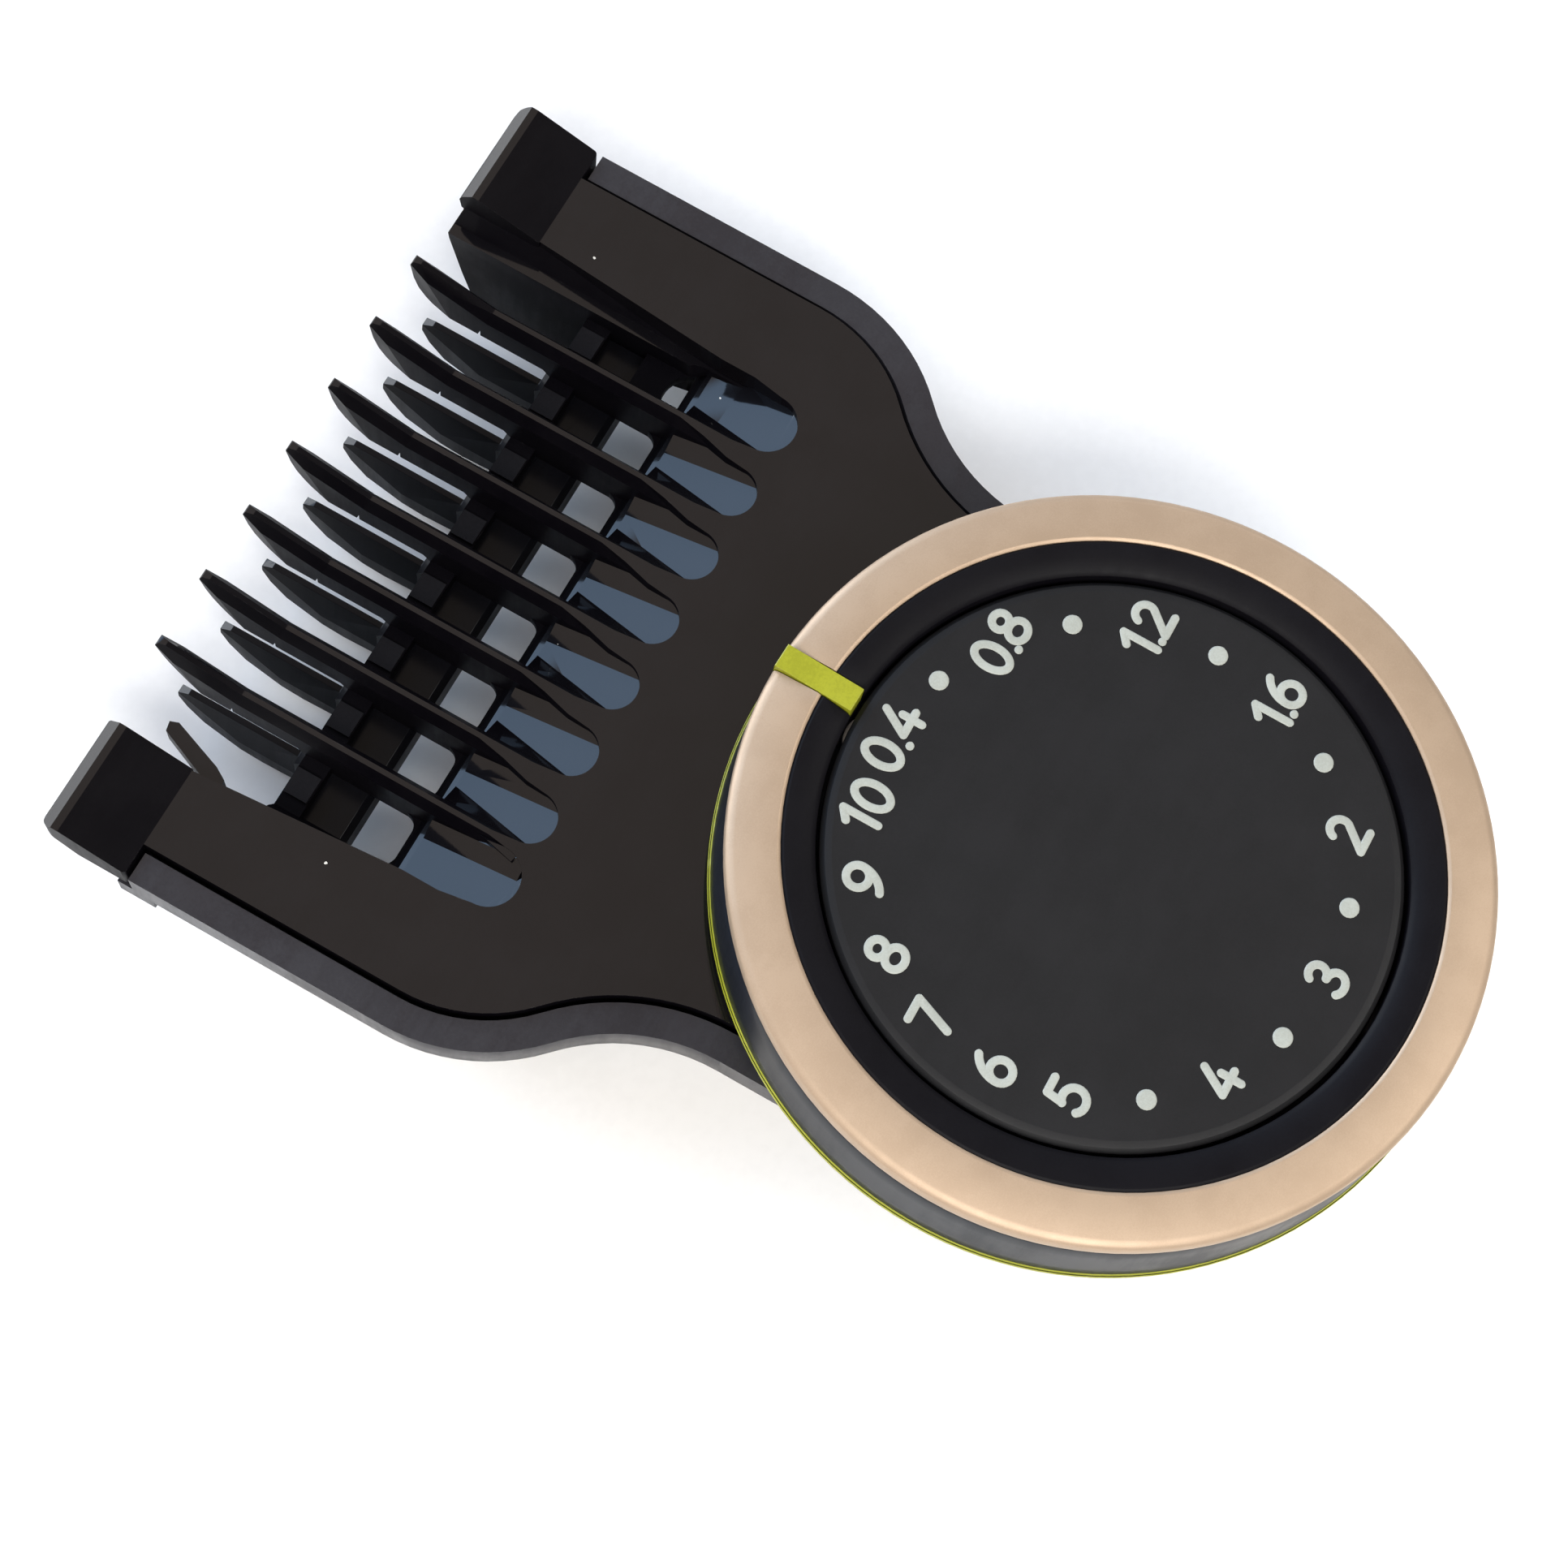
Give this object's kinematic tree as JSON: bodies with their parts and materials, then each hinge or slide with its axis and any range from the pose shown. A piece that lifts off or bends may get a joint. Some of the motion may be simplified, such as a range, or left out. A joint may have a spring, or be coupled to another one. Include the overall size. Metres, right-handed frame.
{
  "type": "clipper guard comb",
  "caption": "Adjustable guard comb for a hair trimmer: a toothed comb slides on a two-railed frame when the numbered length dial is turned.",
  "frame": {"origin": "on the dial axis, at the flat back face of the frame", "axes": "+X across the comb, +Y from the dial toward the comb tips, +Z along the dial axis, out of the face with the numbers"},
  "size_m": [0.041, 0.0582, 0.0154],
  "materials": {
    "base_frame": "fine matte texture",
    "rear_cover": "fine matte texture",
    "rear_screws": "plain",
    "hub_post": "turned",
    "hub_screws": "plain",
    "thrust_washer": "natural",
    "number_disc": "fine satin texture",
    "disc_screw": "plain",
    "click_spring": "sheet",
    "clip_left": "plain",
    "clip_right": "plain",
    "knob_core": "polished",
    "bezel_ring": "satin",
    "trim_ring": "champagne anodised, satin",
    "marker_ring": "lime, satin",
    "cam_disc": "natural",
    "cam_screws": "plain",
    "comb_shell": "polished",
    "claw_rack": "polished",
    "rack_stakes": "formed heads",
    "follower_pin": "ground",
    "follower_roller": "natural",
    "guide_shoe_left": "natural",
    "guide_shoe_right": "natural",
    "shoe_pins": "plain"
  },
  "bodies": {
    "base": {"base_frame": "base_frame", "rear_cover": "rear_cover", "rear_screws": "rear_screws", "hub_post": "hub_post", "hub_screws": "hub_screws", "thrust_washer": "thrust_washer", "number_disc": "number_disc", "disc_screw": "disc_screw", "click_spring": "click_spring", "clip_left": "clip_left", "clip_right": "clip_right"},
    "dial": {"knob_core": "knob_core", "bezel_ring": "bezel_ring", "trim_ring": "trim_ring", "marker_ring": "marker_ring", "cam_disc": "cam_disc", "cam_screws": "cam_screws"},
    "comb": {"comb_shell": "comb_shell", "claw_rack": "claw_rack", "rack_stakes": "rack_stakes", "follower_pin": "follower_pin", "follower_roller": "follower_roller", "guide_shoe_left": "guide_shoe_left", "guide_shoe_right": "guide_shoe_right", "shoe_pins": "shoe_pins"}
  },
  "joints": [
    {"name": "dial_turn", "type": "hinge", "parent": "base", "child": "dial", "pos_m": [0, 0, 0.0125], "axis": [0, 0, -1], "range_deg": [0, 342]},
    {"name": "comb_slide", "type": "slide", "parent": "base", "child": "comb", "axis": [0, 1, 0], "range_m": [0, 0.0096]}
  ],
  "couplings": [
    {"joint": "comb_slide", "follows": "dial_turn", "m_per_rad": 0.0016083}
  ]
}
